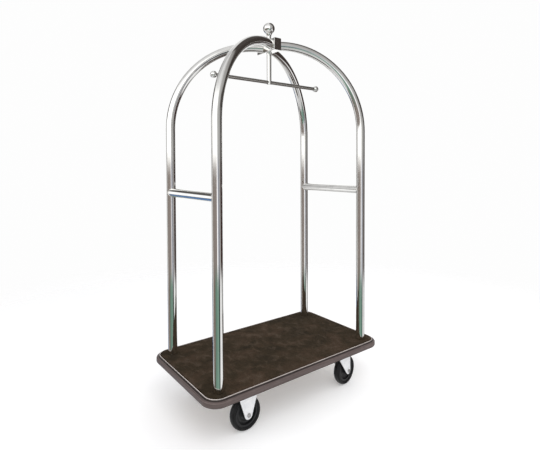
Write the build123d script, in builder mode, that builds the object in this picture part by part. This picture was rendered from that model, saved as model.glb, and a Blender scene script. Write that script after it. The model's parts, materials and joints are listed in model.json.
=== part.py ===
"""Birdcage luggage cart: a carpeted deck on four casters, under four tube arches that meet in a hub.

Frame: X runs along the deck, Y across it and Z up. The origin lies on the floor, under the deck's
middle. Left is -X, where the fixed casters are, and front is -Y. All sizes are in millimetres.
"""

import os
from math import cos, hypot, radians, sin, sqrt

from build123d import *

os.makedirs("parts", exist_ok=True)

# ---------------------------------------------------------------------------------------------
# Driving dimensions
# ---------------------------------------------------------------------------------------------
# Deck, from the outside in
overall_length = 1100.0  # over the bumper
overall_width = 630.0  # over the bumper
bumper_depth = 15.5
bumper_drop = 6.0  # top of the bumper, below the carpet
bumper_overhang = 3.0  # bottom of the bumper, below the trim
bumper_round = 9.0
bumper_inner_round = 4.0
trim_corner = 62.0  # outside corner radius of the metal edge trim
trim_thickness = 3.0
trim_flange = 25.0  # width of the ledge that carries the board
trim_lip = 1.0  # height of the lip above the carpet
trim_lip_round = 1.2
board_thickness = 21.0
carpet_thickness = 8.0
carpet_gap = 3.0  # between the carpet and the trim
carpet_edge_round = 2.5

# Steel rails under the board
rail_width = 110.0
rail_height = 25.0
rail_wall = 2.5
rail_end_inset = 120.0  # from the end of the bumper to the end of a side rail
cross_rail_width = 60.0

# Posts, arches and cross bars
post_diameter = 48.0
post_wall = 2.0
post_inset_x = 85.0  # from the outside of the bumper to the middle of a post
post_inset_y = 77.0
post_straight = 1178.0  # from the carpet to where the arch springs
arch_lead_in = 33.0  # straight run between the hub and the bend
crossbar_diameter = 45.0
crossbar_wall = 2.0
crossbar_height = 850.0  # middle of the bar, above the carpet

# Post feet
plug_height = 30.0
post_bolt_diameter = 12.0
post_bolt_head = 7.5
post_bolt_flats = 19.0
post_bolt_reach = 24.0  # length of thread in the plug
washer_diameter = 36.0
washer_thickness = 3.0

# Hub
hub_width = 45.0  # along X
hub_end_margin = 6.0  # from an arch tube to the hub's end, along Y
hub_height = 64.0
hub_wall = 3.0
hub_corner = 4.0
hub_cap_thickness = 4.0
hub_cap_spigot = 6.0
hub_cap_round = 1.0
arch_spread = 45.0  # from the hub's middle to where a tube meets it
hub_bolt_diameter = 10.0
hub_bolt_head = 6.4
hub_bolt_flats = 16.0

# Finial
ball_diameter = 64.0
neck_height = 34.5  # from the hub to the lowest point of the ball
neck_foot_diameter = 28.0
neck_waist_diameter = 23.0
neck_cup_diameter = 36.0
neck_foot_height = 4.0
finial_bolt_reach = 22.0  # length of thread in the ball

# Hanger
stem_diameter = 25.0
stem_drop = 158.0  # from the hub down to the middle of the bar
stem_tail = 13.0  # below the middle of the bar
stem_bolt_reach = 34.0
stem_end_round = 2.0
collar_diameter = 30.0
collar_height = 7.0
bar_diameter = 19.0
bar_wall = 1.5
bar_reach = 342.0  # from the stem to the middle of an end ball
bar_ball_diameter = 36.0
bar_socket = 11.0  # depth of the bar inside an end ball

# Casters
wheel_radius = 80.0
wheel_top_clearance = 6.0  # between a swivelling wheel and its fork's crown
caster_inset_y = 107.0  # from the outside of the bumper to the middle of a caster
fixed_inset_x = 244.0
swivel_inset_x = 217.0
swivel_trail = 38.0
swivel_turn = {"front": 9.0, "back": 26.0}  # direction that each fork trails in, at rest
plate_length = 135.0
plate_width = 110.0
plate_thickness = 4.0
plate_corner = 8.0
bolt_spacing_x = 105.0
bolt_spacing_y = 80.0
fork_sheet = 4.0
fork_bend = 7.0  # outside radius of the pressed bends
fixed_leg_half = 46.0  # half the width of a fixed fork's leg, at its top
fixed_leg_tip = 20.0  # radius of the leg's rounded end
fixed_leg_shoulder = 78.0  # where a leg starts to taper, above the axle
swivel_leg_back = 40.0  # leg's leading edge, in front of the swivel axis
swivel_leg_front = 54.0
swivel_leg_tip = 18.0
swivel_leg_shoulder = 78.0
race_radius = 33.0
race_height = 7.4
race_gap = 1.2
race_ball_diameter = 8.0
race_ball_pitch = 25.0  # radius of the circle of balls
race_ball_count = 14
kingpin_diameter = 14.0
kingpin_head_diameter = 24.0
kingpin_head = 7.0
kingpin_head_round = 2.5

# Wheels
tyre_width = 36.0
tyre_crown = 6.0  # how far the tread bulges over the shoulders
tyre_thickness = 19.0
tyre_seat_width = 32.0
tyre_side_depth = 13.0  # from the tread in to where the side walls reach their full width
core_rim_thickness = 9.0
core_rim_width = 28.0
core_web_width = 11.0
core_hub_radius = 21.0
core_hub_width = 47.0
bush_radius = 12.0
bush_length = 52.0
spacer_radius = 8.0
axle_diameter = 10.0
axle_flats = 17.0
axle_head = 6.4
axle_nut = 8.0
axle_tail = 3.0  # bolt that shows past the nut

# Carriage bolts that hold the casters
caster_bolt_diameter = 8.0
caster_bolt_head_diameter = 20.0
caster_bolt_head = 4.5
caster_nut = 6.5
caster_nut_flats = 13.0
caster_bolt_tail = 2.0

# Clearances, on the radius for round pieces
weld_gap = 0.05
press_gap = 0.02
running_gap = 0.05
thread_gap = 0.05
bolt_clearance = 0.3
face_gap = 0.3  # between faces that turn past each other
hub_side_gap = 0.5  # between a wheel's bush and the fork's legs
board_gap = 0.5
post_cut_gap = 0.5  # round the posts, in the carpet

# ---------------------------------------------------------------------------------------------
# Heights and places that follow
# ---------------------------------------------------------------------------------------------
fork_height = fork_sheet + 2 * race_height + race_gap + plate_thickness  # from the crown's underside up
caster_height = 2 * wheel_radius + wheel_top_clearance + fork_height
rail_bottom = caster_height
board_bottom = rail_bottom + rail_height
board_top = board_bottom + board_thickness
deck_top = board_top + carpet_thickness
trim_bottom = board_bottom - trim_thickness
trim_top = deck_top + trim_lip
bumper_top = deck_top - bumper_drop
bumper_height = bumper_top - (trim_bottom - bumper_overhang)

trim_length = overall_length - 2 * bumper_depth
trim_width = overall_width - 2 * bumper_depth
trim_inner_length = trim_length - 2 * trim_thickness
trim_inner_width = trim_width - 2 * trim_thickness
trim_inner_corner = trim_corner - trim_thickness

post_radius = post_diameter / 2
post_x = overall_length / 2 - post_inset_x
post_y = overall_width / 2 - post_inset_y
crossbar_radius = crossbar_diameter / 2
crossbar_z = deck_top + crossbar_height

hub_half = hub_width / 2
arch_run_x = post_x - hub_half
arch_run_y = post_y - arch_spread
arch_run = hypot(arch_run_x, arch_run_y)
arch_mark_half = post_radius * arch_run / arch_run_x  # of the slanted cut where a tube meets the hub
hub_length = 2 * (arch_spread + arch_mark_half + hub_end_margin)
arch_radius = arch_run - arch_lead_in
spring_z = deck_top + post_straight
hub_z = spring_z + arch_radius
hub_top = hub_z + hub_height / 2
hub_bottom = hub_z - hub_height / 2

ball_radius = ball_diameter / 2
ball_z = hub_top + neck_height + ball_radius
bar_radius = bar_diameter / 2
bar_z = hub_bottom - stem_drop
stem_top = hub_bottom - collar_height
stem_radius = stem_diameter / 2

plate_bottom = caster_height - plate_thickness
upper_race_bottom = plate_bottom - race_height
lower_race_top = upper_race_bottom - race_gap
crown_top = lower_race_top - race_height
crown_bottom = crown_top - fork_sheet
race_ball_z = (upper_race_bottom + lower_race_top) / 2
fork_inner = bush_length / 2 + hub_side_gap
fork_outer = fork_inner + fork_sheet

SIDES = (("front", -1), ("back", 1))
ENDS = (("left", -1), ("right", 1))
CORNERS = [(f"{side}_{end}", along, across) for end, along in ENDS for side, across in SIDES]
post_places = [(along * post_x, across * post_y) for _, along, across in CORNERS]

caster_y = overall_width / 2 - caster_inset_y
fixed_x = fixed_inset_x - overall_length / 2
swivel_x = overall_length / 2 - swivel_inset_x
caster_places = [(x, across * caster_y) for x in (fixed_x, swivel_x) for _, across in SIDES]
bolt_places = [
    (x + step_x * bolt_spacing_x / 2, y + step_y * bolt_spacing_y / 2)
    for x, y in caster_places
    for step_x in (-1, 1)
    for step_y in (-1, 1)
]


def finish(builder, name):
    """Label a finished piece and write it to its own file."""
    builder.part.label = name
    export_step(builder.part, f"parts/{name}.step")


def at_height(places, z):
    """The same plan places, at one height."""
    return [(x, y, z) for x, y in places]


def hexagon(flats):
    """A hexagon of a given size over its flats."""
    return RegularPolygon(radius=flats / 2, side_count=6, major_radius=False)


def upright(x, y, turn):
    """Upright plane along a caster: its X is the rolling direction and its Y is up."""
    angle = radians(turn)
    return Plane(origin=(x, y, 0), x_dir=(cos(angle), sin(angle), 0), z_dir=(sin(angle), -cos(angle), 0))


def crosswise(x, y, turn):
    """Upright plane across a caster: its X is the axle's direction and its Y is up."""
    angle = radians(turn)
    return Plane(origin=(x, y, 0), x_dir=(-sin(angle), cos(angle), 0), z_dir=(cos(angle), sin(angle), 0))


# ---------------------------------------------------------------------------------------------
# Deck
# ---------------------------------------------------------------------------------------------
board_length = trim_inner_length - 2 * board_gap
board_width = trim_inner_width - 2 * board_gap

with BuildPart() as deck_board:
    with BuildSketch(Plane.XY.offset(board_bottom)):
        RectangleRounded(board_length, board_width, trim_inner_corner - board_gap)
    extrude(amount=board_thickness)
    with Locations(*at_height(post_places, board_top)):
        Hole(post_bolt_diameter / 2 + bolt_clearance)
    with Locations(*at_height(bolt_places, board_top)):
        CounterBoreHole(
            caster_bolt_diameter / 2 + bolt_clearance,
            caster_bolt_head_diameter / 2 + bolt_clearance,
            caster_bolt_head,
        )
finish(deck_board, "deck_board")

with BuildPart() as carpet:
    with BuildSketch(Plane.XY.offset(board_top)):
        RectangleRounded(
            trim_inner_length - 2 * carpet_gap,
            trim_inner_width - 2 * carpet_gap,
            trim_inner_corner - carpet_gap,
        )
    extrude(amount=carpet_thickness)
    fillet(carpet.faces().sort_by(Axis.Z)[-1].outer_wire().edges(), radius=carpet_edge_round)
    with Locations(*at_height(post_places, deck_top)):
        Hole(post_radius + post_cut_gap)
finish(carpet, "carpet")

with BuildPart() as edge_trim:
    with BuildSketch(Plane.XY.offset(trim_bottom)):
        RectangleRounded(trim_length, trim_width, trim_corner)
        RectangleRounded(
            trim_inner_length - 2 * trim_flange,
            trim_inner_width - 2 * trim_flange,
            trim_inner_corner - trim_flange,
            mode=Mode.SUBTRACT,
        )
    extrude(amount=trim_thickness)
    with BuildSketch(Plane.XY.offset(trim_bottom)):
        RectangleRounded(trim_length, trim_width, trim_corner)
        RectangleRounded(trim_inner_length, trim_inner_width, trim_inner_corner, mode=Mode.SUBTRACT)
    extrude(amount=trim_top - trim_bottom)
    fillet(edge_trim.faces().sort_by(Axis.Z)[-1].edges(), radius=trim_lip_round)
finish(edge_trim, "edge_trim")

with BuildPart() as bumper:
    with BuildSketch(Plane.XY.offset(bumper_top)):
        RectangleRounded(overall_length, overall_width, trim_corner + bumper_depth)
    extrude(amount=-bumper_height)
    fillet(bumper.edges().group_by(Axis.Z)[0] + bumper.edges().group_by(Axis.Z)[-1], radius=bumper_round)
    with BuildSketch(Plane.XY.offset(bumper_top)):
        RectangleRounded(trim_length, trim_width, trim_corner)
    extrude(amount=-bumper_height, mode=Mode.SUBTRACT)
    fillet(bumper.faces().sort_by(Axis.Z)[-1].inner_wires().edges(), radius=bumper_inner_round)
finish(bumper, "bumper")

# ---------------------------------------------------------------------------------------------
# Rails under the deck
# ---------------------------------------------------------------------------------------------
rail_middle = rail_bottom + rail_height / 2
rail_half_length = overall_length / 2 - rail_end_inset

for side, across in SIDES:
    with BuildPart() as side_rail:
        with BuildSketch(Plane.YZ):
            with Locations((across * caster_y, rail_middle)):
                Rectangle(rail_width, rail_height)
                Rectangle(rail_width - 2 * rail_wall, rail_height - 2 * rail_wall, mode=Mode.SUBTRACT)
        extrude(amount=rail_half_length, both=True)
        with Locations(*[(x, y, board_bottom) for x, y in bolt_places if y * across > 0]):
            Hole(caster_bolt_diameter / 2 + bolt_clearance)
    finish(side_rail, f"side_rail_{side}")

cross_rail_half = caster_y - rail_width / 2
cross_rail_places = {"left": fixed_x, "middle": (fixed_x + swivel_x) / 2, "right": swivel_x}

for place, x in cross_rail_places.items():
    with BuildPart() as cross_rail:
        with BuildSketch(Plane.XZ):
            with Locations((x, rail_middle)):
                Rectangle(cross_rail_width, rail_height)
                Rectangle(
                    cross_rail_width - 2 * rail_wall,
                    rail_height - 2 * rail_wall,
                    mode=Mode.SUBTRACT,
                )
        extrude(amount=cross_rail_half, both=True)
    finish(cross_rail, f"cross_rail_{place}")

# ---------------------------------------------------------------------------------------------
# Posts that bend over into arches, and their feet
# ---------------------------------------------------------------------------------------------
for corner, along, across in CORNERS:
    outward = (along * arch_run_x / arch_run, across * arch_run_y / arch_run, 0)
    arch_plane = Plane(
        origin=(along * hub_half, across * arch_spread, 0),
        x_dir=outward,
        z_dir=(outward[1], -outward[0], 0),
    )
    with BuildPart() as arch_tube:
        with BuildLine(arch_plane) as route:
            Line((-post_diameter, hub_z), (arch_lead_in, hub_z))
            CenterArc((arch_lead_in, spring_z), arch_radius, 90, -90)
            Line((arch_run, spring_z), (arch_run, board_top))
        with BuildSketch(Plane(origin=route.line @ 0, z_dir=route.line % 0)):
            Circle(post_radius)
            Circle(post_radius - post_wall, mode=Mode.SUBTRACT)
        sweep()
        split(
            bisect_by=Plane.YZ.offset(along * hub_half),
            keep=Keep.TOP if along > 0 else Keep.BOTTOM,
        )
    finish(arch_tube, f"arch_tube_{corner}")

with BuildPart() as post_foot_plugs:
    with BuildSketch(Plane.XY.offset(board_top)):
        with Locations(*post_places):
            Circle(post_radius - post_wall - weld_gap)
            Circle(post_bolt_diameter / 2 + thread_gap, mode=Mode.SUBTRACT)
    extrude(amount=plug_height)
finish(post_foot_plugs, "post_foot_plugs")

with BuildPart() as post_washers:
    with BuildSketch(Plane.XY.offset(board_bottom)):
        with Locations(*post_places):
            Circle(washer_diameter / 2)
            Circle(post_bolt_diameter / 2 + bolt_clearance, mode=Mode.SUBTRACT)
    extrude(amount=-washer_thickness)
finish(post_washers, "post_washers")

post_head_top = board_bottom - washer_thickness

with BuildPart() as post_bolts:
    with BuildSketch(Plane.XY.offset(post_head_top)):
        with Locations(*post_places):
            hexagon(post_bolt_flats)
    extrude(amount=-post_bolt_head)
    with BuildSketch(Plane.XY.offset(post_head_top)):
        with Locations(*post_places):
            Circle(post_bolt_diameter / 2)
    extrude(amount=board_top + post_bolt_reach - post_head_top)
finish(post_bolts, "post_bolts")

for end, along in ENDS:
    with BuildPart() as crossbar:
        with BuildSketch(Plane.XZ):
            with Locations((along * post_x, crossbar_z)):
                Circle(crossbar_radius)
                Circle(crossbar_radius - crossbar_wall, mode=Mode.SUBTRACT)
        extrude(amount=post_y, both=True)
        with BuildSketch(Plane.XY.offset(crossbar_z)):
            with Locations((along * post_x, -post_y), (along * post_x, post_y)):
                Circle(post_radius + weld_gap)
        extrude(amount=crossbar_diameter, both=True, mode=Mode.SUBTRACT)
    finish(crossbar, f"crossbar_{end}")

# ---------------------------------------------------------------------------------------------
# Hub and finial
# ---------------------------------------------------------------------------------------------
hub_bolt_radius = hub_bolt_diameter / 2
hub_tube_half = hub_length / 2 - hub_cap_thickness

with BuildPart() as hub_box:
    with BuildSketch(Plane.XZ):
        with Locations((0, hub_z)):
            RectangleRounded(hub_width, hub_height, hub_corner)
            Rectangle(hub_width - 2 * hub_wall, hub_height - 2 * hub_wall, mode=Mode.SUBTRACT)
    extrude(amount=hub_tube_half, both=True)
    with Locations((0, 0, hub_top)):
        Hole(hub_bolt_radius + bolt_clearance)
finish(hub_box, "hub_box")

with BuildPart() as hub_end_caps:
    with BuildSketch(Plane.XZ.offset(hub_tube_half)):
        with Locations((0, hub_z)):
            RectangleRounded(hub_width, hub_height, hub_corner)
    extrude(amount=hub_cap_thickness)
    fillet(hub_end_caps.faces().sort_by(Axis.Y)[0].edges(), radius=hub_cap_round)
    with BuildSketch(Plane.XZ.offset(hub_tube_half)):
        with Locations((0, hub_z)):
            Rectangle(hub_width - 2 * hub_wall - 2 * weld_gap, hub_height - 2 * hub_wall - 2 * weld_gap)
    extrude(amount=-hub_cap_spigot)
    mirror(about=Plane.XZ)
finish(hub_end_caps, "hub_end_caps")

neck_seat_z = ball_z - sqrt(ball_radius**2 - (neck_cup_diameter / 2) ** 2)

with BuildPart() as finial_neck:
    with BuildSketch(Plane.XZ):
        with BuildLine():
            foot = (neck_foot_diameter / 2, hub_top + neck_foot_height)
            waist_low = (neck_waist_diameter / 2, hub_top + 2 * neck_foot_height)
            waist_high = (neck_waist_diameter / 2, (hub_top + neck_seat_z) / 2)
            cup = (neck_cup_diameter / 2, neck_seat_z)
            bore = hub_bolt_radius + bolt_clearance
            Polyline(cup, (bore, neck_seat_z), (bore, hub_top), (foot[0], hub_top), foot)
            TangentArc(waist_low, foot, tangent=(0, -1))
            Line(waist_low, waist_high)
            TangentArc(waist_high, cup, tangent=(0, 1))
        make_face()
    revolve(axis=Axis.Z)
    with Locations((0, 0, ball_z)):
        Sphere(ball_radius + weld_gap, mode=Mode.SUBTRACT)
finish(finial_neck, "finial_neck")

finial_bolt_top = ball_z - ball_radius + finial_bolt_reach

with BuildPart() as finial_ball:
    with Locations((0, 0, ball_z)):
        Sphere(ball_radius)
    with BuildSketch(Plane.XY.offset(ball_z - ball_radius)):
        Circle(hub_bolt_radius + thread_gap)
    extrude(amount=finial_bolt_reach + face_gap, mode=Mode.SUBTRACT)
finish(finial_ball, "finial_ball")

# One bolt points up into the ball and the other down into the stem, with both heads in the hub.
hub_ceiling = hub_top - hub_wall
hub_floor = hub_bottom + hub_wall

with BuildPart() as hub_bolts:
    with BuildSketch(Plane.XY.offset(hub_ceiling)):
        hexagon(hub_bolt_flats)
    extrude(amount=-hub_bolt_head)
    with BuildSketch(Plane.XY.offset(hub_ceiling)):
        Circle(hub_bolt_radius)
    extrude(amount=finial_bolt_top - hub_ceiling)
    with BuildSketch(Plane.XY.offset(hub_floor)):
        hexagon(hub_bolt_flats)
    extrude(amount=hub_bolt_head)
    with BuildSketch(Plane.XY.offset(hub_floor)):
        Circle(hub_bolt_radius)
    extrude(amount=stem_top - stem_bolt_reach - hub_floor)
finish(hub_bolts, "hub_bolts")

# ---------------------------------------------------------------------------------------------
# Garment rail
# ---------------------------------------------------------------------------------------------
with BuildPart() as stem_collar:
    with BuildSketch(Plane.XY.offset(hub_bottom)):
        Circle(collar_diameter / 2)
    extrude(amount=-collar_height)
    fillet(stem_collar.faces().sort_by(Axis.Z)[0].edges(), radius=(collar_diameter - stem_diameter) / 2)
    with Locations((0, 0, hub_bottom)):
        Hole(hub_bolt_radius + bolt_clearance)
finish(stem_collar, "stem_collar")

with BuildPart() as hanger_stem:
    with BuildSketch(Plane.XY.offset(stem_top)):
        Circle(stem_radius)
    extrude(amount=bar_z - stem_tail - stem_top)
    fillet(hanger_stem.faces().sort_by(Axis.Z)[0].edges(), radius=stem_end_round)
    with Locations((0, 0, stem_top)):
        Hole(hub_bolt_radius + thread_gap, depth=stem_bolt_reach + face_gap)
    with BuildSketch(Plane.YZ):
        with Locations((0, bar_z)):
            Circle(bar_radius + weld_gap)
    extrude(amount=stem_diameter, both=True, mode=Mode.SUBTRACT)
finish(hanger_stem, "hanger_stem")

bar_ball_radius = bar_ball_diameter / 2
bar_half_length = bar_reach - bar_ball_radius + bar_socket

with BuildPart() as hanger_bar:
    with BuildSketch(Plane.YZ):
        with Locations((0, bar_z)):
            Circle(bar_radius)
            Circle(bar_radius - bar_wall, mode=Mode.SUBTRACT)
    extrude(amount=bar_half_length, both=True)
finish(hanger_bar, "hanger_bar")

for end, along in ENDS:
    with BuildPart() as bar_ball:
        with Locations((along * bar_reach, 0, bar_z)):
            Sphere(bar_ball_radius)
        with BuildSketch(Plane.YZ):
            with Locations((0, bar_z)):
                Circle(bar_radius + weld_gap)
        extrude(amount=along * (bar_half_length + face_gap), mode=Mode.SUBTRACT)
    finish(bar_ball, f"bar_ball_{end}")

# ---------------------------------------------------------------------------------------------
# Bolts that hold the casters
# ---------------------------------------------------------------------------------------------
caster_bolt_end = plate_bottom - caster_nut - caster_bolt_tail

with BuildPart() as caster_bolts:
    with BuildSketch(Plane.XY.offset(board_top)):
        with Locations(*bolt_places):
            Circle(caster_bolt_head_diameter / 2)
    extrude(amount=-caster_bolt_head)
    with BuildSketch(Plane.XY.offset(board_top)):
        with Locations(*bolt_places):
            Circle(caster_bolt_diameter / 2)
    extrude(amount=caster_bolt_end - board_top)
finish(caster_bolts, "caster_bolts")

with BuildPart() as caster_nuts:
    with BuildSketch(Plane.XY.offset(plate_bottom)):
        with Locations(*bolt_places):
            hexagon(caster_nut_flats)
            Circle(caster_bolt_diameter / 2 + thread_gap, mode=Mode.SUBTRACT)
    extrude(amount=-caster_nut)
finish(caster_nuts, "caster_nuts")

# ---------------------------------------------------------------------------------------------
# Casters: a fixed pair on the left, a swivelling pair on the right
# ---------------------------------------------------------------------------------------------
axle_radius = axle_diameter / 2
leg_bottom = wheel_radius - max(fixed_leg_tip, swivel_leg_tip)


def fork_section(top):
    """Section of the pressed fork: a sheet bent down on both sides. Drawn across the caster."""
    for half, head, bend in (
        (fork_outer, top, fork_bend),
        (fork_inner, top - fork_sheet, fork_bend - fork_sheet),
    ):
        mode = Mode.ADD if half == fork_outer else Mode.SUBTRACT
        with BuildSketch(mode=Mode.PRIVATE) as outline:
            with Locations((0, (head + leg_bottom) / 2)):
                Rectangle(2 * half, head - leg_bottom)
            fillet(outline.vertices().group_by(Axis.Y)[-1], radius=bend)
        add(outline.sketch, mode=mode)


def fork_side(back, front, top, shoulder, tip, trail):
    """Side view of a fork: a straight head that narrows to a round end at the axle."""
    with Locations(((front - back) / 2, (top + shoulder) / 2)):
        Rectangle(front + back, top - shoulder)
    with Locations((trail, wheel_radius)):
        Circle(tip)
    make_hull()


def plate_outline(x, y):
    """Plate that is bolted under a side rail."""
    with BuildSketch(Plane.XY.offset(plate_bottom), mode=Mode.PRIVATE) as outline:
        with Locations((x, y)):
            RectangleRounded(plate_length, plate_width, plate_corner)
            with GridLocations(bolt_spacing_x, bolt_spacing_y, 2, 2):
                Circle(caster_bolt_diameter / 2 + bolt_clearance, mode=Mode.SUBTRACT)
    return outline.sketch


def axle_outline(frame):
    """Hole for an axle, in a fork's legs."""
    with BuildSketch(frame, mode=Mode.PRIVATE) as outline:
        with Locations((0, wheel_radius)):
            Circle(axle_radius + thread_gap)
    return outline.sketch


def axle_bolts(frames):
    """Axle bolts, each with its head outside the fork's front leg."""
    with BuildPart() as bolts:
        for frame in frames:
            with BuildSketch(frame.offset(fork_outer)):
                with Locations((0, wheel_radius)):
                    hexagon(axle_flats)
            extrude(amount=axle_head)
            with BuildSketch(frame.offset(fork_outer)):
                with Locations((0, wheel_radius)):
                    Circle(axle_radius)
            extrude(amount=-(2 * fork_outer + axle_nut + axle_tail))
    return bolts


def axle_nuts(frames):
    """Nuts on the axle bolts, each outside the fork's back leg."""
    with BuildPart() as nuts:
        for frame in frames:
            with BuildSketch(frame.offset(-fork_outer)):
                with Locations((0, wheel_radius)):
                    hexagon(axle_flats)
                    Circle(axle_radius + thread_gap, mode=Mode.SUBTRACT)
            extrude(amount=-axle_nut)
    return nuts


def axle_spacers(frames):
    """Tubes that the wheels turn on, clamped between a fork's legs."""
    with BuildPart() as spacers:
        for frame in frames:
            with BuildSketch(frame):
                with Locations((0, wheel_radius)):
                    Circle(spacer_radius)
                    Circle(axle_radius + thread_gap, mode=Mode.SUBTRACT)
            extrude(amount=fork_inner, both=True)
    return spacers


fixed_frames = [upright(fixed_x, across * caster_y, 0) for _, across in SIDES]

for side, across in SIDES:
    y = across * caster_y
    side_plane = upright(fixed_x, y, 0)
    with BuildPart() as fixed_fork:
        with BuildSketch(crosswise(fixed_x, y, 0)):
            fork_section(plate_bottom)
        extrude(amount=plate_length, both=True)
        with BuildSketch(side_plane):
            fork_side(
                fixed_leg_half,
                fixed_leg_half,
                plate_bottom,
                wheel_radius + fixed_leg_shoulder,
                fixed_leg_tip,
                0,
            )
        extrude(amount=plate_width, both=True, mode=Mode.INTERSECT)
        extrude(axle_outline(side_plane), amount=plate_width, both=True, mode=Mode.SUBTRACT)
        extrude(plate_outline(fixed_x, y), amount=plate_thickness)
    finish(fixed_fork, f"fixed_fork_{side}")

finish(axle_bolts(fixed_frames), "fixed_axles")
finish(axle_nuts(fixed_frames), "fixed_axle_nuts")
finish(axle_spacers(fixed_frames), "fixed_axle_spacers")

swivel_places = [(swivel_x, across * caster_y) for _, across in SIDES]

for (side, _), (x, y) in zip(SIDES, swivel_places):
    with BuildPart() as swivel_plate:
        extrude(plate_outline(x, y), amount=plate_thickness)
        with BuildSketch(Plane.XY.offset(plate_bottom)):
            with Locations((x, y)):
                Circle(race_radius)
        extrude(amount=-race_height)
        with Locations((x, y, race_ball_z)):
            Torus(race_ball_pitch, race_ball_diameter / 2 + face_gap, mode=Mode.SUBTRACT)
        with Locations((x, y, caster_height)):
            Hole(kingpin_diameter / 2 + press_gap)
    finish(swivel_plate, f"swivel_plate_{side}")

kingpin_head_top = crown_bottom - face_gap

with BuildPart() as swivel_kingpins:
    with BuildSketch(Plane.XY.offset(caster_height)):
        with Locations(*swivel_places):
            Circle(kingpin_diameter / 2)
    extrude(amount=kingpin_head_top - caster_height)
    with BuildSketch(Plane.XY.offset(kingpin_head_top)):
        with Locations(*swivel_places):
            Circle(kingpin_head_diameter / 2)
    extrude(amount=-kingpin_head)
    fillet(swivel_kingpins.faces().group_by(Axis.Z)[0].edges(), radius=kingpin_head_round)
finish(swivel_kingpins, "swivel_kingpins")

with BuildPart() as swivel_balls:
    with Locations(*at_height(swivel_places, race_ball_z)):
        with PolarLocations(race_ball_pitch, race_ball_count):
            Sphere(race_ball_diameter / 2)
finish(swivel_balls, "swivel_balls")

for (side, _), (x, y) in zip(SIDES, swivel_places):
    turn = radians(swivel_turn[side])
    side_plane = upright(x, y, swivel_turn[side])
    axle_plane = upright(x + swivel_trail * cos(turn), y + swivel_trail * sin(turn), swivel_turn[side])
    with BuildPart() as swivel_fork:
        with BuildSketch(crosswise(x, y, swivel_turn[side])):
            fork_section(crown_top)
        extrude(amount=plate_length, both=True)
        with BuildSketch(side_plane):
            fork_side(
                swivel_leg_back,
                swivel_leg_front,
                crown_top,
                wheel_radius + swivel_leg_shoulder,
                swivel_leg_tip,
                swivel_trail,
            )
        extrude(amount=plate_width, both=True, mode=Mode.INTERSECT)
        with BuildSketch(Plane.XY.offset(crown_top)):
            with Locations((x, y)):
                Circle(race_radius)
        extrude(amount=race_height)
        with Locations((x, y, race_ball_z)):
            Torus(race_ball_pitch, race_ball_diameter / 2 + face_gap, mode=Mode.SUBTRACT)
        with BuildSketch(Plane.XY.offset(lower_race_top)):
            with Locations((x, y)):
                Circle(kingpin_diameter / 2 + running_gap)
        extrude(amount=crown_bottom - lower_race_top, mode=Mode.SUBTRACT)
        extrude(axle_outline(axle_plane), amount=plate_width, both=True, mode=Mode.SUBTRACT)
    finish(swivel_fork, f"swivel_fork_{side}")
    finish(axle_bolts([axle_plane]), f"swivel_axle_{side}")
    finish(axle_nuts([axle_plane]), f"swivel_axle_nut_{side}")
    finish(axle_spacers([axle_plane]), f"swivel_axle_spacer_{side}")

# ---------------------------------------------------------------------------------------------
# Wheels
# ---------------------------------------------------------------------------------------------
wheels = {}
for side, across in SIDES:
    turn = radians(swivel_turn[side])
    y = across * caster_y
    wheels[f"fixed_{side}"] = (fixed_x, y, 0.0)
    wheels[f"swivel_{side}"] = (
        swivel_x + swivel_trail * cos(turn),
        y + swivel_trail * sin(turn),
        swivel_turn[side],
    )

tyre_shoulder_radius = wheel_radius - tyre_crown
tyre_side_radius = wheel_radius - tyre_side_depth
tyre_seat_radius = wheel_radius - tyre_thickness
core_rim_radius = tyre_seat_radius - core_rim_thickness

for name, (x, y, turn) in wheels.items():
    section_plane = crosswise(x, y, turn)
    axle_axis = Axis((x, y, wheel_radius), (-sin(radians(turn)), cos(radians(turn)), 0))

    with BuildPart() as tyre:
        with BuildSketch(section_plane):
            with BuildLine():
                left = (-tyre_width / 2, wheel_radius + tyre_shoulder_radius)
                right = (tyre_width / 2, wheel_radius + tyre_shoulder_radius)
                ThreePointArc(left, (0, 2 * wheel_radius), right)
                Polyline(
                    right,
                    (tyre_width / 2, wheel_radius + tyre_side_radius),
                    (tyre_seat_width / 2, wheel_radius + tyre_seat_radius),
                    (-tyre_seat_width / 2, wheel_radius + tyre_seat_radius),
                    (-tyre_width / 2, wheel_radius + tyre_side_radius),
                    left,
                )
            make_face()
        revolve(axis=axle_axis)
    finish(tyre, f"tyre_{name}")

    with BuildPart() as core:
        with BuildSketch(section_plane):
            for half, low, high in (
                (core_hub_width / 2, bush_radius + press_gap, core_hub_radius),
                (core_web_width / 2, core_hub_radius, core_rim_radius),
                (core_rim_width / 2, core_rim_radius, tyre_seat_radius - press_gap),
            ):
                with Locations((0, wheel_radius + (low + high) / 2)):
                    Rectangle(2 * half, high - low)
        revolve(axis=axle_axis)
    finish(core, f"core_{name}")

    with BuildPart() as bush:
        with BuildSketch(section_plane):
            middle = wheel_radius + (bush_radius + spacer_radius + running_gap) / 2
            with Locations((0, middle)):
                Rectangle(bush_length, bush_radius - spacer_radius - running_gap)
        revolve(axis=axle_axis)
    finish(bush, f"bush_{name}")
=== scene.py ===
"""Looks of the birdcage luggage cart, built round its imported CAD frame. All lengths are in metres."""

import json
import math

import bmesh
import bpy
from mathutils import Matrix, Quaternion, Vector, noise


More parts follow.
